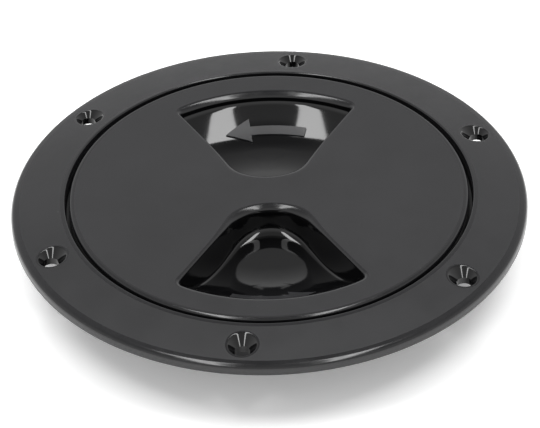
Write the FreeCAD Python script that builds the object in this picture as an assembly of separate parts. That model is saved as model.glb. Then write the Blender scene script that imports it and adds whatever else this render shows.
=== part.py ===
"""Screw-in deck hatch: a round inspection port for a boat's deck or a bulkhead.

Three moulded pieces, in millimetres, +Z up, with the origin on the hatch's axis in the deck plane:

  mounting_ring  flange on the deck, collar through the cut-out, internal screw thread, seal seat
  lid            round plate with two finger wells, skirt with the external screw thread
  lid_seal       rubber ring squeezed between the lid's rim and the seat in the mounting ring

The flange is cored from below, with a boss round each screw hole. The two finger wells lie on the Y axis.
"""

import FreeCAD
import Part

import math
import os

from FreeCAD import Vector

# ---- mounting ring: flange ----
flange_radius = 71.0            # outside of the flange
flange_rim_height = 2.9         # height of the flange's outer edge above the deck
flange_hole_height = 4.1        # height of the flange's top over the screw holes
flange_inner_height = 5.3       # height of the flange's top beside the lid
rim_round = 1.0                 # rounding of the outer top edge
bottom_round = 0.4              # rounding of the outer bottom edge
screw_count = 6
screw_circle_radius = 64.05
screw_first_angle = 22.6        # the lid pulls up tight with its wells 7.4 degrees past a screw hole
screw_hole_radius = 2.1         # for a 4 mm countersunk screw
countersink_radius = 3.9
countersink_depth = 2.0

# ---- mounting ring: coring of the underside ----
core_inner_radius = 60.2
core_outer_radius = 69.2
core_depth = 1.5
boss_radius = 4.3
core_rib_width = 1.5
core_rib_step = 20.0            # degrees between ribs
core_rib_first = screw_first_angle + core_rib_step / 2

# ---- mounting ring: collar and seat ----
recess_radius = 56.1            # pocket that the lid's rim drops into
recess_lip_round = 0.4
seat_height = 0.8               # face that the seal is pressed on
spigot_radius = 58.2            # fits the deck cut-out
spigot_depth = 2.5
collar_radius = 55.7            # outside of the collar below the spigot
collar_depth = 11.5
collar_taper_height = 2.0
bore_radius = 52.7              # inside of the collar, at the thread's root
edge_break = 0.5
seat_break = 0.2

# ---- lid ----
lid_radius = 54.9
lid_top = 5.3                   # flush with the flange beside it
lid_rim_round = 1.2
lid_rim_underside = 3.1
plate_thickness = 2.4
neck_radius = 52.25             # carries the seal
neck_bottom = -1.2
skirt_radius = 50.7             # at the thread's root
skirt_inner_radius = 48.7
skirt_bottom = -9.6

# ---- finger wells ----
well_half_angle = 30.0          # each side wall leans this far from the Y axis
well_apex = 5.1                 # the side walls would meet this far beyond the lid's centre
well_inner = 7.3                # narrow end, from the lid's centre; one arc joins both side walls
well_outer = 45.5               # wide end, from the lid's centre
well_depth = 10.2               # at the deepest
well_deepest = 25.0             # radius of that place, from the lid's centre
well_fall = 6.0                 # degrees, floor's fall from the narrow end
well_sweep = 32.0               # radius of the floor's curve up to the wide end
well_draft = 4.0                # degrees
well_outer_corner = 1.6         # plan rounding at the wide end
well_lip = 1.6                  # rounding of the top edge
well_floor_round = 0.8
well_wall = 2.2

# ---- turn arrows, raised on the curve at the wide end of each well ----
arrow_height = 0.5
arrow_radius = 37.6
arrow_band = 2.6
arrow_head = 7.0
arrow_tail_angle = -17.0        # degrees from the well's middle line
arrow_neck_angle = 7.0
arrow_tip_angle = 18.0

# ---- ribs under the lid ----
lid_rib_width = 1.8
lid_rib_bottom = -1.4
lid_rib_angles = (-30.0, 0.0, 30.0)
hub_radius = 5.5

# ---- screw thread, right-handed ----
thread_pitch = 4.0
thread_root_width = 2.2
thread_crest_width = 1.0
thread_buried = 0.4             # how far a thread's root runs into its wall
ring_thread_crest = 51.0        # leaves the 102 mm clear opening
ring_thread_start = -9.7
ring_thread_turns = 1.75
lid_thread_crest = 52.3
lid_thread_start_turn = 0.81     # the lid's thread starts this far along the ring's
lid_thread_turns = 1.2
thread_play = 0.15              # between the flanks that bear when the lid is tight

# ---- seal ----
seal_section_radius = 1.33      # free section
seal_play = 0.02                # kept between the solids where the rubber touches

STARTS_AT = Vector(0, 0, 0)
UP = Vector(0, 0, 1)


def at(radius, angle, height=0.0):
    """Point at a radius, an angle in degrees from +X, and a height."""
    turn = math.radians(angle)
    return Vector(radius * math.cos(turn), radius * math.sin(turn), height)


def turned(shape, angle):
    copy = shape.copy()
    copy.rotate(STARTS_AT, UP, angle)
    return copy


def revolved(edges):
    """Solid turned about Z from a closed outline in the XZ plane."""
    return Part.Face(Part.Wire(edges)).revolve(STARTS_AT, UP, 360)


def polyline(points):
    """Edges through (radius, height) points in the XZ plane."""
    spots = [Vector(radius, 0, height) for radius, height in points]
    return [Part.makeLine(a, b) for a, b in zip(spots, spots[1:])]


def round_rings(solid, radius, places):
    """Rounds the circular edges at the given (radius, height) places."""
    chosen = []
    for edge in solid.Edges:
        if not isinstance(edge.Curve, Part.Circle):
            continue
        for ring_radius, height in places:
            close = abs(edge.Curve.Radius - ring_radius) < 0.01
            if close and abs(edge.Curve.Center.z - height) < 0.01 and edge.Curve.Center.x ** 2 < 0.01:
                chosen.append(edge)
    return solid.makeFillet(radius, chosen)


def tube(outer, inner, bottom, top):
    height = top - bottom
    base = Vector(0, 0, bottom)
    return Part.makeCylinder(outer, height, base).cut(Part.makeCylinder(inner, height, base))


def rib(start, end, width, bottom, top, angle):
    """Upright radial bar between two radii."""
    bar = Part.makeBox(end - start, width, top - bottom, Vector(start, -width / 2, bottom))
    return turned(bar, angle)


def thread(wall, crest, middle, turns):
    """One helical ridge from a wall to its crest, starting with its middle at the given height on +X."""
    inward = -1 if crest < wall else 1
    root = wall - inward * thread_buried
    half_root = thread_root_width / 2
    half_crest = thread_crest_width / 2
    helix = Part.makeHelix(thread_pitch, thread_pitch * turns, root)
    section = Part.makePolygon([
        Vector(root, 0, -half_root),
        Vector(crest, 0, -half_crest),
        Vector(crest, 0, half_crest),
        Vector(root, 0, half_root),
        Vector(root, 0, -half_root),
    ])
    ridge = Part.Wire(helix.Edges).makePipeShell([section], True, True)
    ridge.translate(Vector(0, 0, middle))
    return ridge


# ---------------------------------------------------------------- mounting ring

def ring_body():
    crown = Part.Arc(
        Vector(flange_radius, 0, flange_rim_height),
        Vector(screw_circle_radius, 0, flange_hole_height),
        Vector(recess_radius, 0, flange_inner_height),
    ).toShape()
    below = polyline([
        (recess_radius, flange_inner_height),
        (recess_radius, seat_height),
        (bore_radius + seat_break, seat_height),
        (bore_radius, seat_height - seat_break),
        (bore_radius, edge_break - collar_depth),
        (bore_radius + edge_break, -collar_depth),
        (collar_radius - edge_break, -collar_depth),
        (collar_radius, edge_break - collar_depth),
        (collar_radius, -spigot_depth - collar_taper_height),
        (spigot_radius, -spigot_depth),
        (spigot_radius, 0),
        (flange_radius, 0),
        (flange_radius, flange_rim_height),
    ])
    body = revolved([crown] + below)
    body = round_rings(body, rim_round, [(flange_radius, flange_rim_height)])
    body = round_rings(body, bottom_round, [(flange_radius, 0)])
    return round_rings(body, recess_lip_round, [(recess_radius, flange_inner_height)])


def screw_angles():
    return [screw_first_angle + i * 360 / screw_count for i in range(screw_count)]


def flange_core():
    """What is cored out of the flange's underside, between the bosses and ribs."""
    core = tube(core_outer_radius, core_inner_radius, -1, core_depth)
    for angle in screw_angles():
        boss = Part.makeCylinder(boss_radius, core_depth + 2, at(screw_circle_radius, angle, -1))
        core = core.cut(boss)
    for i in range(round(360 / core_rib_step)):
        angle = core_rib_first + i * core_rib_step
        bar = rib(core_inner_radius - 1, core_outer_radius + 1, core_rib_width, -1, core_depth, angle)
        core = core.cut(bar)
    return core


def screw_holes():
    slope = (countersink_radius - screw_hole_radius) / countersink_depth
    above = flange_inner_height - flange_hole_height + 1
    top = flange_hole_height + above
    holes = []
    for angle in screw_angles():
        shank = Part.makeCylinder(screw_hole_radius, top + 2, at(screw_circle_radius, angle, -1))
        head = Part.makeCone(
            screw_hole_radius,
            countersink_radius + slope * above,
            countersink_depth + above,
            at(screw_circle_radius, angle, flange_hole_height - countersink_depth),
        )
        holes.append(shank.fuse(head))
    return holes


def mounting_ring():
    body = ring_body().cut(flange_core())
    body = body.cut(screw_holes())
    ridge = thread(bore_radius, ring_thread_crest, ring_thread_start, ring_thread_turns)
    return body.fuse(ridge)


# ---------------------------------------------------------------- lid

def well_outline(grow, height):
    """Closed wire of a finger well's outline at a height, for the well on -Y, grown outwards."""
    lean = math.radians(well_half_angle)
    offset = grow - (lid_top - height) * math.tan(math.radians(well_draft))
    normal = Vector(math.cos(lean), math.sin(lean), 0)
    along = Vector(math.sin(lean), -math.cos(lean), 0)

    narrow_round = (well_apex + well_inner) * math.sin(lean) / (1 - math.sin(lean))
    narrow_centre = Vector(0, -(well_inner + narrow_round), 0)
    narrow_radius = narrow_round + offset
    narrow_tip = narrow_centre + Vector(0, narrow_radius, 0)
    side_top = narrow_centre + normal * narrow_radius

    wide = well_outer + offset
    corner = well_outer_corner + max(offset, -0.7)
    reach = well_apex * math.sin(lean) + offset - corner
    run = math.sqrt((wide - corner) ** 2 - reach ** 2)
    corner_centre = normal * reach + along * run
    side_bottom = corner_centre + normal * corner
    outward = Vector(corner_centre).normalize()
    corner_middle = corner_centre + (normal + outward).normalize() * corner
    rim = outward * wide

    def mirror(point):
        return Vector(-point.x, point.y, point.z)

    edges = [
        Part.Arc(mirror(side_top), narrow_tip, side_top).toShape(),
        Part.makeLine(side_top, side_bottom),
        Part.Arc(side_bottom, corner_middle, rim).toShape(),
        Part.Arc(rim, Vector(0, -wide, 0), mirror(rim)).toShape(),
        Part.Arc(mirror(rim), mirror(corner_middle), mirror(side_bottom)).toShape(),
        Part.makeLine(mirror(side_bottom), mirror(side_top)),
    ]
    wire = Part.Wire(edges)
    wire.translate(Vector(0, 0, height))
    return wire


def well_bed(grow):
    """Everything above a well's floor, turned about the lid's axis. Grown downwards by a thickness."""
    fall = math.radians(well_fall)
    last = math.radians(70)
    radius = well_sweep + grow
    centre_z = lid_top - well_depth + well_sweep

    def on_sweep(angle):
        return Vector(well_deepest + radius * math.sin(angle), 0, centre_z - radius * math.cos(angle))

    start, middle, end = on_sweep(-fall), on_sweep((last - fall) / 2), on_sweep(last)
    top = lid_top + 2
    inner_z = start.z + start.x * math.tan(fall)
    edges = polyline([(start.x, start.z), (0, inner_z), (0, top), (end.x, top), (end.x, end.z)])
    edges.append(Part.Arc(end, middle, start).toShape())
    return revolved(edges)


def well_solid(grow, top):
    """Solid of a finger well on -Y. Grown by the wall's thickness, it's the well's outer shell."""
    below = lid_top - well_depth - grow - 1
    walls = Part.makeLoft([well_outline(grow, top), well_outline(grow, below)], True, True)
    return walls.common(well_bed(grow))


def round_floor(pocket):
    """Rounds the edge where a well's walls meet its floor."""
    bed = well_bed(0).Shells[0]
    seam = well_deepest - well_sweep * math.sin(math.radians(well_fall))
    chosen = []
    for edge in pocket.Edges:
        points = edge.discretize(5)
        if all(bed.distToShape(Part.Vertex(point))[0] < 0.001 for point in points):
            across_floor = all(abs(math.hypot(point.x, point.y) - seam) < 0.1 for point in points)
            if not across_floor:
                chosen.append(edge)
    return pocket.makeFillet(well_floor_round, chosen)


def arrow():
    """Curved arrow for the way the lid unscrews, at the wide end of the well on -Y."""
    middle = -90
    low = arrow_radius - arrow_band / 2
    high = arrow_radius + arrow_band / 2
    bend = (arrow_tail_angle + arrow_neck_angle) / 2
    tail = middle + arrow_tail_angle
    neck = middle + arrow_neck_angle
    edges = [
        Part.Arc(at(low, tail), at(low, middle + bend), at(low, neck)).toShape(),
        Part.makeLine(at(low, neck), at(arrow_radius - arrow_head / 2, neck)),
        Part.makeLine(at(arrow_radius - arrow_head / 2, neck), at(arrow_radius, middle + arrow_tip_angle)),
        Part.makeLine(at(arrow_radius, middle + arrow_tip_angle), at(arrow_radius + arrow_head / 2, neck)),
        Part.makeLine(at(arrow_radius + arrow_head / 2, neck), at(high, neck)),
        Part.Arc(at(high, neck), at(high, middle + bend), at(high, tail)).toShape(),
        Part.makeLine(at(high, tail), at(low, tail)),
    ]
    mark = Part.Face(Part.Wire(edges)).extrude(Vector(0, 0, well_depth))
    mark.translate(Vector(0, 0, lid_top - well_depth - 0.5))
    return mark.common(well_bed(0.5)).cut(well_bed(-arrow_height))


def lid_body():
    underside = lid_top - plate_thickness
    profile = [
        (0, lid_top),
        (lid_radius, lid_top),
        (lid_radius, lid_rim_underside),
        (neck_radius, lid_rim_underside),
        (neck_radius, neck_bottom),
        (skirt_radius, neck_bottom - (neck_radius - skirt_radius) / 2),
        (skirt_radius, skirt_bottom + edge_break),
        (skirt_radius - edge_break, skirt_bottom),
        (skirt_inner_radius, skirt_bottom),
        (skirt_inner_radius, underside),
        (0, underside),
        (0, lid_top),
    ]
    return round_rings(revolved(polyline(profile)), lid_rim_round, [(lid_radius, lid_top)])


def round_lips(body):
    """Rounds the top edge of both finger wells."""
    chosen = []
    for edge in body.Edges:
        box = edge.BoundBox
        flat = box.ZMin > lid_top - 0.001
        if flat and max(-box.YMin, box.YMax) < well_outer + 1 and box.XLength + box.YLength > 0.5:
            chosen.append(edge)
    return body.makeFillet(well_lip, chosen)


def lid_ribs():
    top = lid_top - plate_thickness / 2
    bars = [Part.makeCylinder(hub_radius, top - lid_rib_bottom, Vector(0, 0, lid_rib_bottom))]
    for side in (0, 180):
        for angle in lid_rib_angles:
            bars.append(rib(0, skirt_inner_radius + 0.5, lid_rib_width, lid_rib_bottom, top, side + angle))
    return bars[0].fuse(bars[1:])


def lid():
    floor_shell = well_solid(well_wall, lid_top - plate_thickness / 2)
    pocket = round_floor(well_solid(0, lid_top + 0.5))
    body = lid_body().fuse([floor_shell, turned(floor_shell, 180), lid_ribs()])
    body = body.cut([pocket, turned(pocket, 180)]).removeSplitter()
    body = round_lips(body)

    bearing = (ring_thread_crest + lid_thread_crest) / 2
    lid_slope = (thread_root_width - thread_crest_width) / (lid_thread_crest - skirt_radius + thread_buried)
    ring_slope = (thread_root_width - thread_crest_width) / (bore_radius - ring_thread_crest + thread_buried)
    lid_width = thread_crest_width + (lid_thread_crest - bearing) * lid_slope
    ring_width = thread_crest_width + (bearing - ring_thread_crest) * ring_slope
    below_ring = (lid_width + ring_width) / 2 + thread_play
    start = ring_thread_start + lid_thread_start_turn * thread_pitch - below_ring
    ridge = thread(skirt_radius, lid_thread_crest, start, lid_thread_turns)
    ridge = turned(ridge, 360 * lid_thread_start_turn)
    body = body.fuse([ridge, arrow(), turned(arrow(), 180)])
    return body.removeSplitter()


# ---------------------------------------------------------------- seal

def lid_seal():
    """Rubber ring, with flats where the lid's rim and the seat squeeze it."""
    inner = neck_radius + 0.05
    centre_radius = inner + seal_section_radius
    low = seat_height + seal_play
    high = lid_rim_underside - seal_play
    middle = (low + high) / 2
    half_flat = math.sqrt(seal_section_radius ** 2 - ((high - low) / 2) ** 2)
    left, right = centre_radius - half_flat, centre_radius + half_flat
    return revolved([
        Part.makeLine(Vector(left, 0, low), Vector(right, 0, low)),
        Part.Arc(
            Vector(right, 0, low),
            Vector(centre_radius + seal_section_radius, 0, middle),
            Vector(right, 0, high),
        ).toShape(),
        Part.makeLine(Vector(right, 0, high), Vector(left, 0, high)),
        Part.Arc(
            Vector(left, 0, high),
            Vector(centre_radius - seal_section_radius, 0, middle),
            Vector(left, 0, low),
        ).toShape(),
    ])


def main():
    os.makedirs("parts", exist_ok=True)
    for name, build in (("mounting_ring", mounting_ring), ("lid", lid), ("lid_seal", lid_seal)):
        shape = build()
        solids = shape.Solids
        print(name, "solids", len(solids), "valid", shape.isValid(), "volume_mm3", round(shape.Volume, 1))
        Part.makeCompound(solids).exportStep("parts/" + name + ".step")


main()
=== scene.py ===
import math

import bmesh
import bpy
import numpy as np
from mathutils import Matrix, Vector


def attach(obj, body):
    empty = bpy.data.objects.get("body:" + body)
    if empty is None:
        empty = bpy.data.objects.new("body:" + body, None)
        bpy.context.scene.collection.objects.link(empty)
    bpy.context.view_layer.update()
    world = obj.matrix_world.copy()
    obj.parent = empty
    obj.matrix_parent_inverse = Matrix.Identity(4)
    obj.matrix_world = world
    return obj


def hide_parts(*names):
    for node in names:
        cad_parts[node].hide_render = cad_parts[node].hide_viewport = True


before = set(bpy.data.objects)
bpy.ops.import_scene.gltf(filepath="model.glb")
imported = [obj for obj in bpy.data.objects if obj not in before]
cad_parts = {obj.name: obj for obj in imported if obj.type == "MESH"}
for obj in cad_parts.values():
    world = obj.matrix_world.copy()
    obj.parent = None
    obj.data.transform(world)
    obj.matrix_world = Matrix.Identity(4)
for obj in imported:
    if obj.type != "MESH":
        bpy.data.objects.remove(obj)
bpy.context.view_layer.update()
print("frame loaded:", ", ".join(sorted(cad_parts)))

mm = 0.001
columns = 360        # one column of faces for each degree


# shared helpers, all in millimetres until toObject

def newShell():
    return {"verts": [], "faces": [], "slots": []}


def addGrid(shell, rows, closed=True, slot=0):
    # rows of equal length, joined by quads; closed joins each row's end to its start
    start = len(shell["verts"])
    count = len(rows[0])
    for row in rows:
        shell["verts"].extend(np.asarray(row, float).tolist())
    last = count if closed else count - 1
    for j in range(len(rows) - 1):
        for i in range(last):
            a = start + j * count + i
            b = start + j * count + (i + 1) % count
            shell["faces"].append((a, b, b + count, a + count))
            shell["slots"].append(slot)


def toObject(name, shell, materials, sharpAngle=32):
    mesh = bpy.data.meshes.new(name)
    mesh.from_pydata([[c * mm for c in v] for v in shell["verts"]], [], shell["faces"])
    for material in materials:
        mesh.materials.append(material)
    mesh.polygons.foreach_set("material_index", shell["slots"])
    bm = bmesh.new()
    bm.from_mesh(mesh)
    bmesh.ops.remove_doubles(bm, verts=bm.verts, dist=0.002 * mm)
    bmesh.ops.dissolve_degenerate(bm, edges=bm.edges, dist=0.0005 * mm)
    bmesh.ops.recalc_face_normals(bm, faces=bm.faces)
    bm.to_mesh(mesh)
    bm.free()
    obj = bpy.data.objects.new(name, mesh)
    bpy.context.scene.collection.objects.link(obj)
    smooth(obj, sharpAngle)
    return obj


def smooth(obj, sharpAngle=32):
    obj.data.shade_smooth()
    obj.data.set_sharp_from_angle(angle=math.radians(sharpAngle))


def settle(obj):
    # the evaluated shape becomes the object's plain mesh, with no modifier left
    graph = bpy.context.evaluated_depsgraph_get()
    mesh = bpy.data.meshes.new_from_object(obj.evaluated_get(graph), depsgraph=graph)
    obj.modifiers.clear()
    old = obj.data
    obj.data = mesh
    bpy.data.meshes.remove(old)


def combine(target, tool, operation):
    cut = target.modifiers.new("combine", "BOOLEAN")
    cut.operation = operation
    cut.solver = "MANIFOLD"
    cut.object = tool
    before = len(target.data.polygons)
    settle(target)
    print("  ", operation.lower(), tool.name, before, "->", len(target.data.polygons), "faces")
    bpy.data.objects.remove(tool)


def roundedPath(points, steps=6):
    # outline through (radius, height, rounding) points, with arcs at the rounded ones
    spots = [np.array(p[:2], float) for p in points]
    path = [spots[0]]
    for k in range(1, len(spots) - 1):
        rounding = points[k][2]
        corner = spots[k]
        if rounding <= 0:
            path.append(corner)
            continue
        back = (spots[k - 1] - corner) / np.linalg.norm(spots[k - 1] - corner)
        ahead = (spots[k + 1] - corner) / np.linalg.norm(spots[k + 1] - corner)
        half = math.acos(np.clip(back @ ahead, -1, 1)) / 2
        reach = rounding / math.tan(half)
        centre = corner + (back + ahead) / np.linalg.norm(back + ahead) * rounding / math.sin(half)
        first = corner + back * reach - centre
        final = corner + ahead * reach - centre
        turn = math.acos(np.clip(first @ final / rounding ** 2, -1, 1))
        for s in np.linspace(0, 1, steps + 1):
            mix = (math.sin((1 - s) * turn) * first + math.sin(s * turn) * final) / math.sin(turn)
            path.append(centre + mix)
    path.append(spots[-1])
    return path


def around(radius, height, angles):
    # row of points on a level circle, angles in degrees
    turn = np.radians(angles)
    return np.stack([radius * np.cos(turn), radius * np.sin(turn), np.full(len(turn), float(height))], 1)


def addBand(shell, points, slot, steps, start=0):
    # a profile of (radius, height, rounding) points, turned right round the axis
    angles = start + np.arange(columns)
    addGrid(shell, [around(r, z, angles) for r, z in roundedPath(points, steps)], slot=slot)


def turnRow(row, angle):
    c, s = math.cos(math.radians(angle)), math.sin(math.radians(angle))
    x, y, z = np.asarray(row).T
    return np.stack([c * x - s * y, s * x + c * y, z], 1)


# materials

def newMaterial(name, colour, roughness, **sockets):
    material = bpy.data.materials.new(name)
    material.use_nodes = True
    nodes = material.node_tree.nodes
    shader = nodes["Principled BSDF"]
    shader.inputs["Base Color"].default_value = (*colour, 1)
    shader.inputs["Roughness"].default_value = roughness
    for label, value in sockets.items():
        shader.inputs[label.replace("_", " ")].default_value = value
    return material, nodes, material.node_tree.links, shader


def noise(nodes, links, place, scale, detail=2.0, rough=0.5):
    node = nodes.new("ShaderNodeTexNoise")
    node.inputs["Scale"].default_value = scale
    node.inputs["Detail"].default_value = detail
    node.inputs["Roughness"].default_value = rough
    links.new(place, node.inputs["Vector"])
    return node.outputs["Fac"]


def spread(nodes, links, value, fromLow, fromHigh, toLow, toHigh):
    node = nodes.new("ShaderNodeMapRange")
    ends = {"From Min": fromLow, "From Max": fromHigh, "To Min": toLow, "To Max": toHigh}
    for label, number in ends.items():
        node.inputs[label].default_value = number
    links.new(value, node.inputs["Value"])
    return node.outputs["Result"]


def blendColour(nodes, links, factor, low, high):
    node = nodes.new("ShaderNodeMix")
    node.data_type = "RGBA"
    node.inputs["A"].default_value = (*low, 1)
    node.inputs["B"].default_value = (*high, 1)
    links.new(factor, node.inputs["Factor"])
    return node.outputs["Result"]


def feed(links, sockets, values):
    # each value goes to its socket, as a plain number or as a link
    for socket, value in zip(sockets, values):
        if isinstance(value, (int, float)):
            socket.default_value = value
        else:
            links.new(value, socket)


def mathNode(nodes, links, operation, *values):
    node = nodes.new("ShaderNodeMath")
    node.operation = operation
    feed(links, node.inputs, values)
    return node.outputs[0]


def tint(nodes, links, shader, factor, low, high):
    links.new(blendColour(nodes, links, factor, low, high), shader.inputs["Base Color"])


def polish(nodes, links, shader, factor, low, high):
    # roughness that wanders between two values
    links.new(spread(nodes, links, factor, 0.3, 0.7, low, high), shader.inputs["Roughness"])


def bump(nodes, links, shader, height, strength, distance):
    node = nodes.new("ShaderNodeBump")
    node.inputs["Strength"].default_value = strength
    node.inputs["Distance"].default_value = distance
    links.new(height, node.inputs["Height"])
    links.new(node.outputs["Normal"], shader.inputs["Normal"])


def objectPlace(nodes):
    return nodes.new("ShaderNodeTexCoord").outputs["Object"]


satin = {
    "dark": (0.0105, 0.0105, 0.0115),
    "light": (0.0135, 0.0135, 0.0148),
    "roughLow": 0.36,
    "roughHigh": 0.46,
    "grainSize": 0.35,      # mm
    "grainDepth": 0.010,    # mm
}


def makeSatin():
    # spark-textured face of the flange and the lid, with handling marks and a few specks of dust
    material, nodes, links, shader = newMaterial("satinBlack", satin["dark"], 0.46)
    place = objectPlace(nodes)
    grain = noise(nodes, links, place, 1 / (satin["grainSize"] * mm), 3, 0.6)
    patches = noise(nodes, links, place, 45, 3, 0.55)
    rub = noise(nodes, links, place, 160, 5, 0.7)
    specks = noise(nodes, links, place, 900, 0, 0.5)
    dust = spread(nodes, links, specks, 0.885, 0.91, 0, 0.5)
    broad = mathNode(nodes, links, "MULTIPLY", patches, 0.7)
    tone = mathNode(nodes, links, "ADD", broad, mathNode(nodes, links, "MULTIPLY", rub, 0.3))
    share = spread(nodes, links, tone, 0.35, 0.65, 0, 1)
    body = blendColour(nodes, links, share, satin["dark"], satin["light"])
    mix = nodes.new("ShaderNodeMix")
    mix.data_type = "RGBA"
    mix.inputs["B"].default_value = (0.09, 0.09, 0.085, 1)
    links.new(dust, mix.inputs["Factor"])
    links.new(body, mix.inputs["A"])
    links.new(mix.outputs["Result"], shader.inputs["Base Color"])
    polish(nodes, links, shader, rub, satin["roughLow"], satin["roughHigh"])
    bump(nodes, links, shader, grain, 0.5, satin["grainDepth"] * mm)
    return material


gloss = {
    "colour": (0.0022, 0.0022, 0.0025),
    "worn": (0.0034, 0.0034, 0.0038),
    "roughLow": 0.045,
    "roughHigh": 0.085,
}


def makeGloss():
    # polished walls and floors of the wells and countersinks
    material, nodes, links, shader = newMaterial("polishedBlack", gloss["colour"], 0.06, IOR=1.54)
    place = objectPlace(nodes)
    wipe = noise(nodes, links, place, 120, 4, 0.6)
    polish(nodes, links, shader, wipe, gloss["roughLow"], gloss["roughHigh"])
    tint(nodes, links, shader, wipe, gloss["colour"], gloss["worn"])
    ripple = noise(nodes, links, place, 260, 1, 0.4)
    bump(nodes, links, shader, ripple, 0.12, 0.02 * mm)
    return material


def makeEdge():
    # the rounded edges, where the texture stops and the moulding shines a little
    material, nodes, links, shader = newMaterial("edgeBlack", (0.010, 0.010, 0.011), 0.16, IOR=1.52)
    place = objectPlace(nodes)
    wear = noise(nodes, links, place, 220, 5, 0.65)
    polish(nodes, links, shader, wear, 0.11, 0.20)
    tint(nodes, links, shader, wear, (0.009, 0.009, 0.010), (0.012, 0.012, 0.013))
    bump(nodes, links, shader, noise(nodes, links, place, 1600, 2, 0.5), 0.15, 0.006 * mm)
    return material


def makeMoulded():
    # plain moulded faces below and inside
    material, nodes, links, shader = newMaterial("mouldedBlack", (0.016, 0.016, 0.017), 0.36, IOR=1.5)
    place = objectPlace(nodes)
    flow = noise(nodes, links, place, 70, 4, 0.6)
    polish(nodes, links, shader, flow, 0.28, 0.44)
    tint(nodes, links, shader, flow, (0.013, 0.013, 0.014), (0.021, 0.021, 0.023))
    bump(nodes, links, shader, noise(nodes, links, place, 1100, 3, 0.6), 0.3, 0.012 * mm)
    return material


def makeRubber():
    material, nodes, links, shader = newMaterial("sealRubber", (0.018, 0.018, 0.018), 0.62)
    place = objectPlace(nodes)
    bloom = noise(nodes, links, place, 140, 5, 0.65)
    polish(nodes, links, shader, bloom, 0.5, 0.75)
    tint(nodes, links, shader, bloom, (0.012, 0.012, 0.012), (0.035, 0.035, 0.034))
    bump(nodes, links, shader, noise(nodes, links, place, 1400, 3, 0.6), 0.4, 0.015 * mm)
    return material


satinBlack = makeSatin()
polishedBlack = makeGloss()
edgeBlack = makeEdge()
mouldedBlack = makeMoulded()
sealRubber = makeRubber()
finishes = [satinBlack, polishedBlack, edgeBlack, mouldedBlack]
satinSlot, polishedSlot, edgeSlot, mouldedSlot = range(4)
print("materials made")


# geometry node trees

def startTree(name, inputs):
    tree = bpy.data.node_groups.new(name, "GeometryNodeTree")
    tree.interface.new_socket("Geometry", in_out="OUTPUT", socket_type="NodeSocketGeometry")
    for label, kind in inputs:
        tree.interface.new_socket(label, in_out="INPUT", socket_type="NodeSocket" + kind)
    source = tree.nodes.new("NodeGroupInput")
    result = tree.nodes.new("NodeGroupOutput")
    return tree, source, result


def treeMath(tree, operation, *values):
    return mathNode(tree.nodes, tree.links, operation, *values)


def treeVector(tree, *values):
    node = tree.nodes.new("ShaderNodeCombineXYZ")
    feed(tree.links, node.inputs, values)
    return node.outputs[0]


def endTree(tree, source, result, geometry):
    realize = tree.nodes.new("GeometryNodeRealizeInstances")
    finish = tree.nodes.new("GeometryNodeSetMaterial")
    tree.links.new(geometry, realize.inputs[0])
    tree.links.new(realize.outputs[0], finish.inputs["Geometry"])
    tree.links.new(source.outputs["Material"], finish.inputs["Material"])
    tree.links.new(finish.outputs[0], result.inputs[0])
    return tree


def placeRound(tree, source, result, shape, distance):
    # upright shapes round the axis, each with its middle at a distance from it
    out = source.outputs
    shift = tree.nodes.new("GeometryNodeTransform")
    tree.links.new(shape.outputs["Mesh"], shift.inputs["Geometry"])
    level = treeMath(tree, "MULTIPLY", treeMath(tree, "ADD", out["Top"], out["Bottom"]), 0.5)
    tree.links.new(treeVector(tree, distance, 0, level), shift.inputs["Translation"])
    points = tree.nodes.new("GeometryNodePoints")
    tree.links.new(out["Count"], points.inputs["Count"])
    place = tree.nodes.new("GeometryNodeInstanceOnPoints")
    index = tree.nodes.new("GeometryNodeInputIndex")
    turn = treeMath(tree, "MULTIPLY", index.outputs[0], out["Step Angle"])
    turn = treeMath(tree, "ADD", turn, out["First Angle"])
    tree.links.new(points.outputs[0], place.inputs["Points"])
    tree.links.new(shift.outputs[0], place.inputs["Instance"])
    tree.links.new(treeVector(tree, 0, 0, turn), place.inputs["Rotation"])
    return endTree(tree, source, result, place.outputs[0])


def spokesTree():
    # upright bars round the axis, for the ribs
    tree, source, result = startTree("spokes", [
        ("Count", "Int"), ("First Angle", "Float"), ("Step Angle", "Float"), ("Inner Radius", "Float"),
        ("Outer Radius", "Float"), ("Width", "Float"), ("Bottom", "Float"), ("Top", "Float"),
        ("Material", "Material"),
    ])
    out = source.outputs
    bar = tree.nodes.new("GeometryNodeMeshCube")
    length = treeMath(tree, "SUBTRACT", out["Outer Radius"], out["Inner Radius"])
    height = treeMath(tree, "SUBTRACT", out["Top"], out["Bottom"])
    tree.links.new(treeVector(tree, length, out["Width"], height), bar.inputs["Size"])
    ends = treeMath(tree, "ADD", out["Outer Radius"], out["Inner Radius"])
    return placeRound(tree, source, result, bar, treeMath(tree, "MULTIPLY", ends, 0.5))


def studsTree():
    # upright round studs on a circle, for the bosses and the hub
    tree, source, result = startTree("studs", [
        ("Count", "Int"), ("First Angle", "Float"), ("Step Angle", "Float"), ("Circle Radius", "Float"),
        ("Stud Radius", "Float"), ("Bottom", "Float"), ("Top", "Float"), ("Sides", "Int"),
        ("Material", "Material"),
    ])
    out = source.outputs
    stud = tree.nodes.new("GeometryNodeMeshCylinder")
    tree.links.new(out["Sides"], stud.inputs["Vertices"])
    tree.links.new(out["Stud Radius"], stud.inputs["Radius"])
    tree.links.new(treeMath(tree, "SUBTRACT", out["Top"], out["Bottom"]), stud.inputs["Depth"])
    return placeRound(tree, source, result, stud, out["Circle Radius"])


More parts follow.
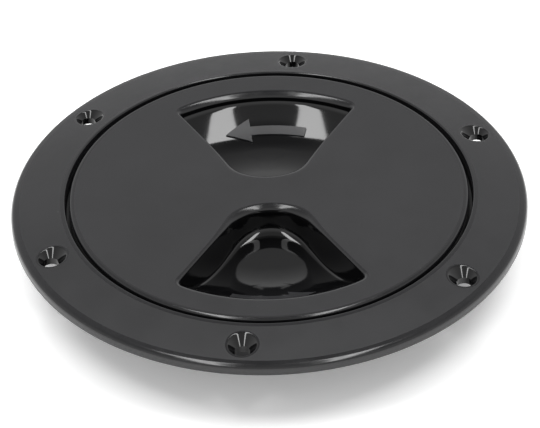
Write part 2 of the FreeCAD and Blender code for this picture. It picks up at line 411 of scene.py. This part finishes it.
def threadTree():
    # one helical ridge, tapered into its wall at both ends
    tree, source, result = startTree("screwThread", [
        ("Wall Radius", "Float"), ("Pitch", "Float"), ("Turns", "Float"), ("Root Width", "Float"),
        ("Crest Width", "Float"), ("Height", "Float"), ("Buried", "Float"), ("Start Height", "Float"),
        ("Start Angle", "Float"), ("Taper", "Float"), ("Steps", "Int"), ("Material", "Material"),
    ])
    out = source.outputs
    count = treeMath(tree, "MULTIPLY", out["Turns"], out["Steps"])
    line = tree.nodes.new("GeometryNodeCurvePrimitiveLine")
    line.inputs["End"].default_value = (0, 0, 1)
    sample = tree.nodes.new("GeometryNodeResampleCurve")
    tree.links.new(line.outputs[0], sample.inputs["Curve"])
    tree.links.new(count, sample.inputs["Count"])
    # a straight square bar along Z, one step of it for each step of the thread
    square = tree.nodes.new("GeometryNodeCurvePrimitiveQuadrilateral")
    square.mode = "RECTANGLE"
    square.inputs["Width"].default_value = 1
    square.inputs["Height"].default_value = 1
    sweep = tree.nodes.new("GeometryNodeCurveToMesh")
    sweep.inputs["Fill Caps"].default_value = True
    tree.links.new(sample.outputs[0], sweep.inputs["Curve"])
    tree.links.new(square.outputs[0], sweep.inputs["Profile Curve"])
    # every point of the bar is then moved to its place on the helix
    position = tree.nodes.new("GeometryNodeInputPosition")
    split = tree.nodes.new("ShaderNodeSeparateXYZ")
    tree.links.new(position.outputs[0], split.inputs[0])
    side, level, along = split.outputs[0], split.outputs[1], split.outputs[2]

    def calc(operation, *values):
        return treeMath(tree, operation, *values)

    outer = calc("ADD", side, 0.5)
    widening = calc("MULTIPLY", outer, calc("SUBTRACT", out["Crest Width"], out["Root Width"]))
    rise = calc("MULTIPLY", level, calc("ADD", out["Root Width"], widening))
    done = calc("MULTIPLY", along, out["Turns"])
    left = calc("MULTIPLY", calc("SUBTRACT", 1.0, along), out["Turns"])
    fade = calc("MINIMUM", calc("DIVIDE", done, out["Taper"]), calc("DIVIDE", left, out["Taper"]))
    fade = calc("MAXIMUM", calc("MINIMUM", fade, 1.0), 0.0)
    reach = calc("MULTIPLY", calc("MULTIPLY", outer, out["Height"]), fade)
    inset = calc("MULTIPLY", calc("SUBTRACT", outer, 1.0), out["Buried"])
    radius = calc("ADD", out["Wall Radius"], calc("ADD", reach, inset))
    turn = calc("ADD", out["Start Angle"], calc("MULTIPLY", done, math.tau))
    lift = calc("ADD", out["Start Height"], calc("ADD", rise, calc("MULTIPLY", done, out["Pitch"])))
    across, away = calc("COSINE", turn), calc("SINE", turn)
    spot = treeVector(tree, calc("MULTIPLY", radius, across), calc("MULTIPLY", radius, away), lift)
    move = tree.nodes.new("GeometryNodeSetPosition")
    tree.links.new(sweep.outputs[0], move.inputs["Geometry"])
    tree.links.new(spot, move.inputs["Position"])
    return endTree(tree, source, result, move.outputs[0])


def grow(name, tree, values):
    # an object made by a tree, as a plain closed mesh
    obj = bpy.data.objects.new(name, bpy.data.meshes.new(name))
    bpy.context.scene.collection.objects.link(obj)
    modifier = obj.modifiers.new(name, "NODES")
    modifier.node_group = tree
    for item in tree.interface.items_tree:
        if item.item_type == "SOCKET" and item.in_out == "INPUT" and item.name in values:
            modifier[item.identifier] = values[item.name]
    settle(obj)
    bm = bmesh.new()
    bm.from_mesh(obj.data)
    bmesh.ops.remove_doubles(bm, verts=bm.verts, dist=0.001 * mm)
    bmesh.ops.recalc_face_normals(bm, faces=bm.faces)
    bm.to_mesh(obj.data)
    bm.free()
    smooth(obj)
    return obj


spokes = spokesTree()
studs = studsTree()
screwThread = threadTree()
print("geometry node trees made")


# mounting ring

ring = {
    "flangeRadius": 71.0, "rimHeight": 2.9, "holeHeight": 4.1, "innerHeight": 5.3,
    "rimRound": 1.4, "bottomRound": 0.4, "lipRound": 0.4,
    "recessRadius": 56.1, "seatHeight": 0.8,
    "spigotRadius": 58.2, "spigotDepth": 2.5,
    "collarRadius": 55.7, "collarDepth": 11.5, "boreRadius": 52.7,
    "screwCircle": 64.05, "firstAngle": 22.6, "screwCount": 6,
    "shankRadius": 2.1, "headRadius": 3.9, "headDepth": 2.0, "edgeBlend": 0.22,
    "sheetInner": 57.4, "sheetOuter": 68.8, "sheetSteps": 12, "blockHalfAngle": 10,
    "floorInner": 58.6, "floorOuter": 70.2,
}
crown = np.polyfit(
    [ring["flangeRadius"], ring["screwCircle"], ring["recessRadius"]],
    [ring["rimHeight"], ring["holeHeight"], ring["innerHeight"]], 2)

coneWidth = ring["headRadius"] - ring["shankRadius"]


def blockLoop(inner, outer):
    # outline of the patch of flange that holds a screw hole at angle zero
    half, steps = ring["blockHalfAngle"], ring["sheetSteps"]
    radii = np.linspace(inner, outer, steps + 1)
    low = np.arange(-half, half + 1)
    loop = [(inner, a) for a in low]
    loop += [(r, half) for r in radii[1:]]
    loop += [(outer, a) for a in low[::-1][1:]]
    loop += [(r, -half) for r in radii[::-1][1:-1]]
    turn = np.radians([a for _, a in loop])
    radius = np.array([r for r, _ in loop])
    return np.stack([radius * np.cos(turn), radius * np.sin(turn)], 1)


def sheetHeight(x, y):
    # flange's top, sinking smoothly into the countersink
    radius = np.hypot(x, y)
    top = np.polyval(crown, radius)
    away = np.hypot(x - ring["screwCircle"], y)
    cone = ring["holeHeight"] - (ring["headRadius"] - away) * ring["headDepth"] / coneWidth
    blend = ring["edgeBlend"]
    share = np.clip(0.5 + 0.5 * (cone - top) / blend, 0, 1)
    return cone * (1 - share) + top * share - blend * share * (1 - share)


def holeRows():
    # rows from the patch's outline, over the countersink's edge and down the hole
    loop = blockLoop(ring["sheetInner"], ring["sheetOuter"])
    centre = np.array([ring["screwCircle"], 0])
    turn = np.arctan2(loop[:, 1], loop[:, 0] - centre[0])
    way = np.stack([np.cos(turn), np.sin(turn)], 1)
    edge = np.full(len(loop), ring["headRadius"])
    for _ in range(20):
        spot = centre + way * edge[:, None]
        top = np.polyval(crown, np.hypot(spot[:, 0], spot[:, 1]))
        edge = ring["headRadius"] + (top - ring["holeHeight"]) * coneWidth / ring["headDepth"]
    rows = []
    for s in np.linspace(1, 0, 9):
        near = centre + way * (edge + 0.55)[:, None]
        flat = near + (loop - near) * s
        rows.append(np.column_stack([flat, sheetHeight(flat[:, 0], flat[:, 1])]))
    for step in (0.42, 0.32, 0.24, 0.17, 0.1, 0.04, -0.02, -0.08, -0.14, -0.2, -0.28, -0.4):
        flat = centre + way * (edge + step)[:, None]
        rows.append(np.column_stack([flat, sheetHeight(flat[:, 0], flat[:, 1])]))
    seat = ring["holeHeight"] - ring["headDepth"]
    last = rows[-1]
    for s in (0.25, 0.5, 0.75, 1.0):
        flat = centre + way * ((1 - s) * (edge - 0.4) + s * ring["shankRadius"])[:, None]
        height = (1 - s) * last[:, 2] + s * seat
        rows.append(np.column_stack([flat, height]))
    for radius, height in ((ring["shankRadius"], 0.15), (ring["shankRadius"] + 0.15, 0.0)):
        flat = centre + way * radius
        rows.append(np.column_stack([flat, np.full(len(flat), height)]))
    mouth = rows[-1][:, :2]
    base = blockLoop(ring["floorInner"], ring["floorOuter"])
    for s in (0.08, 0.3, 0.65, 1.0):
        flat = mouth * (1 - s) + base * s
        rows.append(np.column_stack([flat, np.zeros(len(flat))]))
    return rows


# first and last rows of each finish: the flat, over the edge, the cone and the hole, the underside
holeFinishes = ((0, 9, satinSlot), (8, 14, edgeSlot), (13, 26, polishedSlot), (25, None, mouldedSlot))


def makeRing():
    shell = newShell()
    rows = holeRows()
    plain = np.arange(ring["blockHalfAngle"], 60 - ring["blockHalfAngle"] + 1)
    for k in range(ring["screwCount"]):
        angle = ring["firstAngle"] + 60 * k
        turned = [turnRow(row, angle) for row in rows]
        for first, last, slot in holeFinishes:
            addGrid(shell, turned[first:last], slot=slot)
        top = [around(r, np.polyval(crown, r), angle + plain)
               for r in np.linspace(ring["sheetInner"], ring["sheetOuter"], ring["sheetSteps"] + 1)]
        addGrid(shell, top, closed=False, slot=satinSlot)
        low = [around(r, 0, angle + plain)
               for r in np.linspace(ring["floorInner"], ring["floorOuter"], ring["sheetSteps"] + 1)]
        addGrid(shell, low, closed=False, slot=mouldedSlot)
    side, recess, bore = ring["flangeRadius"], ring["recessRadius"], ring["boreRadius"]
    collar, spigot, start = ring["collarRadius"], ring["spigotRadius"], ring["firstAngle"]
    seat, depth, joinHeight = ring["seatHeight"], -ring["collarDepth"], 3.6
    rimTop = (ring["sheetOuter"], float(np.polyval(crown, ring["sheetOuter"])), 0)
    lipTop = (ring["sheetInner"], float(np.polyval(crown, ring["sheetInner"])), 0)
    rim = [rimTop, (side, ring["rimHeight"], ring["rimRound"]), (side, 1.0, 0)]
    base = [(side, 1.0, 0), (side, 0, ring["bottomRound"]), (ring["floorOuter"], 0, 0)]
    lip = [lipTop, (recess, ring["innerHeight"], ring["lipRound"]), (recess, joinHeight, 0)]
    addBand(shell, rim, edgeSlot, 10, start)
    addBand(shell, base, mouldedSlot, 5, start)
    addBand(shell, lip, edgeSlot, 8, start)
    addBand(shell, [
        (recess, joinHeight, 0), (recess, seat, 0.3), (bore, seat, 0.2), (bore, depth, 0.6), (collar, depth, 0.6),
        (collar, -4.5, 0.8), (spigot, -ring["spigotDepth"], 0.4), (spigot, 0, 0), (ring["floorInner"], 0, 0),
    ], mouldedSlot, 4, start)
    body = toObject("ringBody", shell, finishes)
    print("   ring shell", len(body.data.polygons), "faces")
    return body


coring = {
    "inner": 60.2, "outer": 69.2, "depth": 1.5, "bossRadius": 4.3, "ribWidth": 1.5, "ribStep": 20.0,
}


def coreTool():
    # the pockets in the flange's underside: a flat tube, less the bosses and ribs
    shell = newShell()
    angles = np.arange(columns)
    inner, outer, depth = coring["inner"], coring["outer"], coring["depth"]
    points = [(inner, -1), (outer, -1), (outer, depth), (inner, depth), (inner, -1)]
    addGrid(shell, [around(r, z, angles) for r, z in points])
    tool = toObject("corePockets", shell, [mouldedBlack])
    first, step = ring["firstAngle"], coring["ribStep"]
    through = {"Bottom": -2 * mm, "Top": (depth + 1) * mm, "Material": mouldedBlack}
    combine(tool, grow("bosses", studs, {
        "Count": ring["screwCount"], "First Angle": math.radians(first), "Step Angle": math.radians(60),
        "Circle Radius": ring["screwCircle"] * mm, "Stud Radius": coring["bossRadius"] * mm, "Sides": 48, **through,
    }), "DIFFERENCE")
    combine(tool, grow("flangeRibs", spokes, {
        "Count": round(360 / step), "First Angle": math.radians(first + step / 2), "Step Angle": math.radians(step),
        "Inner Radius": (inner - 1) * mm, "Outer Radius": (outer + 1) * mm, "Width": coring["ribWidth"] * mm, **through,
    }), "DIFFERENCE")
    return tool


thread = {
    "pitch": 4.0, "rootWidth": 2.2, "crestWidth": 1.0, "buried": 0.4, "taper": 0.06,
    "ringCrest": 51.0, "ringStart": -9.7, "ringTurns": 1.75,
    "lidCrest": 52.3, "lidRoot": 50.7, "lidStartTurn": 0.81, "lidTurns": 1.2, "lidBelow": 1.531,
}


def threadPiece(name, wall, crest, startHeight, startAngle, turns):
    outward = 1 if crest > wall else -1
    return grow(name, screwThread, {
        "Wall Radius": wall * mm, "Pitch": thread["pitch"] * mm, "Turns": turns,
        "Root Width": thread["rootWidth"] * mm, "Crest Width": thread["crestWidth"] * mm,
        "Height": (crest - wall) * mm, "Buried": outward * thread["buried"] * mm,
        "Start Height": startHeight * mm, "Start Angle": math.radians(startAngle),
        "Taper": thread["taper"], "Steps": 240, "Material": mouldedBlack,
    })


ringBody = makeRing()
combine(ringBody, coreTool(), "DIFFERENCE")
combine(ringBody, threadPiece("ringThread", ring["boreRadius"], thread["ringCrest"], thread["ringStart"], 0,
                              thread["ringTurns"]), "UNION")
smooth(ringBody)
print("mounting ring made")


# lid

lid = {
    "radius": 54.9, "top": 5.3, "rimRound": 0.9, "rimUnderside": 3.1, "plate": 2.4,
    "neckRadius": 52.25, "neckBottom": -1.2, "skirtRadius": 50.7, "skirtInner": 48.7, "skirtBottom": -9.6,
    "sheetRadius": 53.5, "halfSteps": 40,
}
well = {
    "halfAngle": 30.0, "apex": 5.1, "inner": 7.3, "outer": 45.5, "draft": 4.0,
    "depth": 10.2, "deepest": 25.0,  # depth, and the radius where it's reached
    "fall": 6.0,                     # the floor's fall from the narrow end, degrees
    "sweep": 32.0,                   # radius of the floor's curve up to the wide end
    "outerCorner": 1.6, "wall": 2.2,
    "centre": 27.0,                  # where the floor's rows close up, from the lid's centre
    "lip": (1.9, 2.4, 0.9, 2.0),     # rounding of the top edge: narrow end, its corners, sides, wide end
    "foot": (2.6, 2.0, 0.9, 0.9),    # rounding of the floor's edge, in the same order
    "steps": (26, 34, 14, 56),       # points round half the outline: narrow end, side, corner, wide end
}


def wellPoint(i, offset):
    # point i of a well's outline grown by an offset, for the well on -Y; i runs 0..130 on +X, then back
    total = sum(well["steps"])
    mirror = i > total
    if mirror:
        i = 2 * total - i
    lean = math.radians(well["halfAngle"])
    apex = well["apex"] + offset / math.sin(lean)
    wide = well["outer"] + offset
    narrowRound = well["apex"] + well["inner"]     # the arc that meets both sides smoothly
    innerCentre = np.array([0, -well["inner"] - narrowRound])
    innerRadius = narrowRound + offset
    outerCorner = max(well["outerCorner"] + offset, 0.25)
    normal = np.array([math.cos(lean), math.sin(lean)])
    along = np.array([math.sin(lean), -math.cos(lean)])
    reach = apex * math.sin(lean) - outerCorner
    outerCentre = normal * reach + along * math.sqrt((wide - outerCorner) ** 2 - reach ** 2)
    outAngle = math.atan2(outerCentre[1], outerCentre[0])
    b, c, d, e = np.cumsum(well["steps"])
    if i <= b:
        turn = math.pi / 2 + (lean - math.pi / 2) * i / b
        p = innerCentre + innerRadius * np.array([math.cos(turn), math.sin(turn)])
    elif i <= c:
        s = (i - b) / (c - b)
        p = (innerCentre + normal * innerRadius) * (1 - s) + (outerCentre + normal * outerCorner) * s
    elif i <= d:
        turn = lean + (outAngle - lean) * (i - c) / (d - c)
        p = outerCentre + outerCorner * np.array([math.cos(turn), math.sin(turn)])
    else:
        turn = outAngle + (-math.pi / 2 - outAngle) * (i - d) / (e - d)
        p = wide * np.array([math.cos(turn), math.sin(turn)])
    return (-p[0] if mirror else p[0], p[1])


def wellSizes(narrow, corner, side, wide):
    # one rounding for each outline point, easing from the narrow end to the sides and on to the wide end
    b, c, d, e = np.cumsum(well["steps"])
    at = np.interp(np.arange(e + 1), [0, 0.25 * b, 0.7 * b, b + 0.3 * (c - b), c - 1, d + 2, e],
                   [narrow, narrow, corner, side, side, wide, wide])
    soft = np.convolve(np.pad(at, 4, mode="edge"), np.ones(9) / 9, mode="valid")
    return np.concatenate([soft, soft[-2:0:-1]])


def wellRow(offsets, heights=0.0):
    count = 2 * sum(well["steps"])
    offsets = np.broadcast_to(offsets, count)
    row = np.array([(*wellPoint(i, offsets[i]), 0.0) for i in range(count)])
    row[:, 2] = heights
    return row


def bedHeight(x, y, grown=0.0):
    # a well's floor, turned about the lid's axis: it falls gently outwards, then sweeps up to the wide end
    radius = well["sweep"] + grown
    fall = math.radians(well["fall"])
    middle = lid["top"] - well["depth"] + well["sweep"]
    out = np.hypot(x, y) - well["deepest"]
    swept = middle - np.sqrt(np.maximum(radius ** 2 - np.clip(out, 0, 0.985 * radius) ** 2, 0))
    start = -radius * math.sin(fall)
    straight = middle - radius * math.cos(fall) + (start - out) * math.tan(fall)
    early = middle - np.sqrt(np.maximum(radius ** 2 - np.clip(out, start, 0) ** 2, 0))
    return np.where(out < start, straight, np.where(out < 0, early, swept))


def halfDisc(radius, height):
    # outline of the half of a disc on -Y, in step with the well's outline
    steps = lid["halfSteps"]
    right = [(radius * k / steps, 0) for k in range(steps)]
    arc = [(radius * math.cos(math.radians(k)), -radius * math.sin(math.radians(k))) for k in range(181)]
    left = [(-radius * k / steps, 0) for k in range(steps - 1, 0, -1)]
    return np.array([(x, y, height) for x, y in right + arc + left])


def wellTopRows():
    # from the lid's flat, over the lip, down the wall, round the floor's edge and in to its middle
    slope = math.radians(90 - well["draft"])
    lean = math.tan(math.radians(well["draft"]))
    top = lid["top"]
    lip, foot = wellSizes(*well["lip"]), wellSizes(*well["foot"])
    rows = []
    lipReach = lip * math.tan(slope / 2)
    for phi in np.linspace(0, slope, 11):
        rows.append(wellRow(lipReach - lip * math.sin(phi), top - lip * (1 - math.cos(phi))))
    lowest = rows[-1][:, 2]
    meet = wellRow(-0.3)
    deep = top - bedHeight(meet[:, 0], meet[:, 1])
    footReach = -deep * lean - foot * math.tan(slope / 2)
    curl = []
    for phi in np.linspace(slope, 0, 11):
        row = wellRow(footReach + foot * math.sin(phi))
        risen = bedHeight(row[:, 0], row[:, 1]) + foot * (1 - math.cos(phi))
        row[:, 2] = np.minimum(risen, lowest - 0.05)
        curl.append(row)
    for s in (0.33, 0.67):
        height = lowest * (1 - s) + curl[0][:, 2] * s
        rows.append(wellRow(-(top - height) * lean, height))
    rows += curl
    edge = rows[-1]
    middle = np.array([0, -well["centre"], 0])
    for s in np.concatenate([np.linspace(0.97, 0.28, 24), (0.14, 0.0)]):
        row = middle + (edge - middle) * s
        row[:, 2] = bedHeight(row[:, 0], row[:, 1])
        rows.append(row)
    return rows


def wellUnderRows():
    # the same from below: plate's underside, shell's wall, shell's bottom
    under = lid["top"] - lid["plate"]
    lean = math.tan(math.radians(well["draft"]))
    grown = well["wall"]
    first = wellRow(grown - (lid["top"] - under) * lean + 0.5, under)
    rows = [halfDisc(lid["skirtInner"], under)]
    for s in (0.3, 0.7):
        rows.append(rows[0] * (1 - s) + first * s)
    rows.append(first)
    for phi in np.linspace(0.25, 1, 4) * math.pi / 2:
        offset = grown - (lid["top"] - under) * lean + 0.5 * (1 - math.sin(phi))
        rows.append(wellRow(offset, under - 0.5 * (1 - math.cos(phi))))
    foot = wellSizes(2.2, 2.0, 1.2, 1.2)
    for phi in np.linspace(math.pi / 2, 0, 9):
        row = wellRow(grown - 0.6 - foot * (1 - math.sin(phi)))
        risen = bedHeight(row[:, 0], row[:, 1], grown) + foot * (1 - math.cos(phi))
        row[:, 2] = np.minimum(risen, under - 0.6)
        rows.append(row)
    edge = rows[-1]
    middle = np.array([0, -well["centre"], 0])
    for s in np.concatenate([np.linspace(0.96, 0.3, 14), (0.15, 0.0)]):
        row = middle + (edge - middle) * s
        row[:, 2] = np.minimum(bedHeight(row[:, 0], row[:, 1], grown), under - 0.6)
        rows.append(row)
    return rows


def makeLid():
    shell = newShell()
    top = wellTopRows()
    rim = halfDisc(lid["sheetRadius"], lid["top"])
    plate = [rim + (top[0] - rim) * s for s in (0, 0.15, 0.35, 0.55, 0.75, 0.9, 0.97, 1)]
    below = wellUnderRows()
    for angle in (0, 180):
        # the top's first rows are the lip, the rest the wall and the floor
        finished = ((plate, satinSlot), (top[:9], edgeSlot), (top[8:], polishedSlot), (below, mouldedSlot))
        for rows, slot in finished:
            addGrid(shell, [turnRow(row, angle) for row in rows], slot=slot)
    side, under, joinHeight = lid["radius"], lid["rimUnderside"], 3.7
    neck, skirt, inside, low = lid["neckRadius"], lid["skirtRadius"], lid["skirtInner"], lid["neckBottom"]
    rim = [(lid["sheetRadius"], lid["top"], 0), (side, lid["top"], lid["rimRound"]), (side, joinHeight, 0)]
    addBand(shell, rim, edgeSlot, 10)
    addBand(shell, [
        (side, joinHeight, 0), (side, under, 0.3), (neck, under, 0.15), (neck, low, 0.3),
        (skirt, low - (neck - skirt) / 2, 0.3), (skirt, lid["skirtBottom"], 0.5),
        (inside, lid["skirtBottom"], 0.4), (inside, lid["top"] - lid["plate"], 0),
    ], mouldedSlot, 4)
    body = toObject("lidBody", shell, finishes)
    print("   lid shell", len(body.data.polygons), "faces")
    return body


underLid = {"ribWidth": 1.8, "ribBottom": -1.4, "ribAngles": (-30, 0, 30), "hubRadius": 5.5}


def addUnderLid(body):
    top = (lid["top"] - lid["plate"] / 2) * mm
    # the bars cross at the middle, so each is joined in turn
    for angle in [side + a for side in (0, 180) for a in underLid["ribAngles"]]:
        combine(body, grow("lidRib", spokes, {
            "Count": 1, "First Angle": math.radians(angle), "Inner Radius": 0.0,
            "Outer Radius": (lid["skirtInner"] + 0.5) * mm, "Width": underLid["ribWidth"] * mm,
            "Bottom": underLid["ribBottom"] * mm, "Top": top, "Material": mouldedBlack,
        }), "UNION")
    hub = grow("hub", studs, {
        "Count": 1, "Circle Radius": 0.0, "Stud Radius": underLid["hubRadius"] * mm,
        "Bottom": underLid["ribBottom"] * mm, "Top": top, "Sides": 64, "Material": mouldedBlack,
    })
    combine(body, hub, "UNION")


arrowSizes = {
    "height": 0.5, "radius": 37.6, "band": 2.6, "head": 7.0, "tail": -17.0, "neck": 7.0, "tip": 18.0,
}


def makeArrow(turn):
    # raised curved arrow for the way the lid undoes, laid on the curve at the well's wide end
    shell = newShell()
    centre, half, head = arrowSizes["radius"], arrowSizes["band"] / 2, arrowSizes["head"] / 2
    sweep = [(a, half) for a in np.linspace(arrowSizes["tail"], arrowSizes["neck"] - 0.05, 17)]
    sweep += [(a, head * (arrowSizes["tip"] - a) / (arrowSizes["tip"] - arrowSizes["neck"]) + 0.02)
              for a in np.linspace(arrowSizes["neck"], arrowSizes["tip"], 12)]

    def line(across, rise):
        # one long row of the arrow, at a share of its half width and a height above the floor
        row = np.array([around(centre + across * wide, 0, [a - 90 + turn])[0] for a, wide in sweep])
        row[:, 2] = bedHeight(row[:, 0], row[:, 1]) + rise
        return row

    shares = np.linspace(-1, 1, 9)
    raised = [line(s, arrowSizes["height"]) for s in shares]
    buried = [line(s, -0.6) for s in shares[::-1]]
    loop = raised + buried + raised[:1]
    addGrid(shell, loop, closed=False)
    for end in (0, -1):
        addGrid(shell, [[row[end] for row in raised], [row[end] for row in buried[::-1]]], closed=False)
    return toObject("turnArrow", shell, [mouldedBlack])


lidBody = makeLid()
for turn in (0, 180):
    combine(lidBody, makeArrow(turn), "UNION")
addUnderLid(lidBody)
lidStart = thread["ringStart"] + thread["lidStartTurn"] * thread["pitch"] - thread["lidBelow"]
combine(lidBody, threadPiece("lidThread", thread["lidRoot"], thread["lidCrest"], lidStart,
                             360 * thread["lidStartTurn"], thread["lidTurns"]), "UNION")
smooth(lidBody)
print("lid made")


# seal

seal = {"inner": 52.3, "section": 1.33, "low": 0.82, "high": 3.08, "flash": 0.06}


def makeSeal():
    centre = seal["inner"] + seal["section"]
    half = (seal["high"] - seal["low"]) / 2
    middle = (seal["high"] + seal["low"]) / 2
    limit = math.asin(half / seal["section"])
    outline = []
    for side in (0, math.pi):
        for s in np.linspace(-limit, limit, 15):
            turn = side + s
            stand = seal["flash"] if abs(s) < 0.02 else 0
            radius = centre + (seal["section"] + stand) * math.cos(turn)
            outline.append((radius, middle + seal["section"] * math.sin(turn)))
    shell = newShell()
    angles = np.arange(columns)
    addGrid(shell, [around(r, z, angles) for r, z in outline + outline[:1]])
    return toObject("sealRing", shell, [sealRubber], 50)


sealRing = makeSeal()
print("seal made")


# riding on the frame

for piece, body, node, slotName in (
    (ringBody, "ring", "mounting_ring", "ring_plastic"),
    (lidBody, "lid", "lid", "lid_plastic"),
    (sealRing, "seal", "lid_seal", "seal_rubber"),
):
    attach(piece, body)
    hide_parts(node)


# floor, light and camera

studio = {
    "floorHeight": -11.5, "floorTone": 0.95, "floorGlow": 0.2,
    # the room low down and overhead, and a dark patch overhead in degrees
    "lowTone": 0.84, "highTone": 0.40, "lowEdge": 0.42, "highEdge": 0.82,
    "darkShare": 0.35, "darkTilt": 13.0, "darkInner": 9.0, "darkOuter": 20.0,
    # two long panels overhead, left and right, seen in the polished faces; sizes as shares of their height
    "panelHeight": 1.0, "panelNear": 0.20, "panelFar": 0.37, "panelFront": -1.25, "panelBack": 0.32,
    "panelGlow": 8.5, "panelTurn": 14.0,   # brightness, and how far they open towards the front in degrees
    # and a softer pair that lights the body
    "fillTurn": 130.0, "fillRise": 50.0, "fillWide": 40.0, "fillTall": 34.0, "fillGlow": 5.6,
}


def makeFloor():
    mesh = bpy.data.meshes.new("floor")
    reach = 3.0
    height = studio["floorHeight"] * mm
    corners = [(x * reach, y * reach, height) for x, y in ((-1, -1), (1, -1), (1, 1), (-1, 1))]
    mesh.from_pydata(corners, [], [(0, 1, 2, 3)])
    floor = bpy.data.objects.new("floor", mesh)
    bpy.context.scene.collection.objects.link(floor)
    material, nodes, links, shader = newMaterial("paleFloor", (studio["floorTone"],) * 3, 0.9)
    shader.inputs["Emission Color"].default_value = (1, 1, 1, 1)
    shader.inputs["Emission Strength"].default_value = studio["floorGlow"]
    mesh.materials.append(material)


def panel(name, spot, wide, long, glow, lights):
    # a rectangle that faces the hatch
    data = bpy.data.lights.new(name, "AREA")
    data.shape = "RECTANGLE"
    data.size, data.size_y = wide, long
    data.energy = glow * math.pi * wide * long
    light = bpy.data.objects.new(name, data)
    light.location = spot
    light.visible_camera = False
    light.visible_glossy = lights == "gloss"
    light.visible_diffuse = lights == "body"
    bpy.context.scene.collection.objects.link(light)
    return light


def makeLights():
    high = studio["panelHeight"]
    wide = (studio["panelFar"] - studio["panelNear"]) * high
    long = (studio["panelBack"] - studio["panelFront"]) * high
    middle = (studio["panelFar"] + studio["panelNear"]) / 2 * high
    turn, rise = math.radians(studio["fillTurn"]), math.radians(studio["fillRise"])
    for side, name in ((-1, "Left"), (1, "Right")):
        spot = Vector((side * middle, (studio["panelBack"] + studio["panelFront"]) / 2 * high, high))
        spot.x += side * math.tan(math.radians(studio["panelTurn"])) * -(spot.y + 0.1 * high)
        strip = panel("panel" + name, spot, wide, long, studio["panelGlow"], "gloss")
        strip.rotation_euler.z = side * math.radians(studio["panelTurn"])
        level = math.cos(rise)
        spot = Vector((side * math.sin(turn) * level, -math.cos(turn) * level, math.sin(rise))) * high
        reach = [2 * high * math.tan(math.radians(studio[key] / 2)) for key in ("fillWide", "fillTall")]
        fill = panel("fill" + name, spot, *reach, studio["fillGlow"], "body")
        fill.rotation_mode = "QUATERNION"
        fill.rotation_quaternion = (-spot).to_track_quat("-Z", "Y")


def makeRoom():
    # pale low down and darker above, with a dark patch overhead
    world = bpy.data.worlds.new("studio")
    world.use_nodes = True
    nodes, links = world.node_tree.nodes, world.node_tree.links
    toPatch = nodes.new("ShaderNodeVectorMath")
    toPatch.operation = "DOT_PRODUCT"
    tilt = math.radians(studio["darkTilt"])
    toPatch.inputs[1].default_value = (0, math.sin(tilt), math.cos(tilt))
    direction = nodes.new("ShaderNodeTexCoord").outputs["Generated"]
    links.new(direction, toPatch.inputs[0])
    edges = [math.cos(math.radians(studio[key])) for key in ("darkOuter", "darkInner")]
    share = spread(nodes, links, toPatch.outputs["Value"], *edges, 1, studio["darkShare"])
    parts = nodes.new("ShaderNodeSeparateXYZ")
    links.new(direction, parts.inputs[0])
    span = [studio[key] for key in ("lowEdge", "highEdge", "lowTone", "highTone")]
    tone = spread(nodes, links, parts.outputs["Z"], *span)
    links.new(mathNode(nodes, links, "MULTIPLY", tone, share), nodes["Background"].inputs["Strength"])
    nodes["Background"].inputs["Color"].default_value = (1, 1, 1, 1)
    bpy.context.scene.world = world


makeFloor()
makeLights()
makeRoom()

cameraSet = {
    "lens": 184.43, "distance": 760.8, "rise": 0.6649, "roll": -0.0351,
    "shiftX": -0.327, "shiftY": 5.623, "lookHeight": 4.1,
}


def makeCamera():
    rise, roll = cameraSet["rise"], cameraSet["roll"]
    back = Vector((0, -math.cos(rise), math.sin(rise)))
    up = Vector((0, math.sin(rise), math.cos(rise)))
    right = Vector((1, 0, 0))
    across = math.cos(roll) * right + math.sin(roll) * up
    above = -math.sin(roll) * right + math.cos(roll) * up
    spot = back * cameraSet["distance"] - across * cameraSet["shiftX"] - above * cameraSet["shiftY"]
    spot.z += cameraSet["lookHeight"]
    data = bpy.data.cameras.new("camera")
    data.sensor_width = 36
    data.lens = cameraSet["lens"]
    data.clip_start, data.clip_end = 0.05, 20
    camera = bpy.data.objects.new("camera", data)
    camera.matrix_world = Matrix.Translation(spot * mm) @ Matrix((across, above, back)).transposed().to_4x4()
    bpy.context.scene.collection.objects.link(camera)
    bpy.context.scene.camera = camera


makeCamera()
bpy.context.scene.view_settings.view_transform = "Standard"
print("floor, light and camera made")
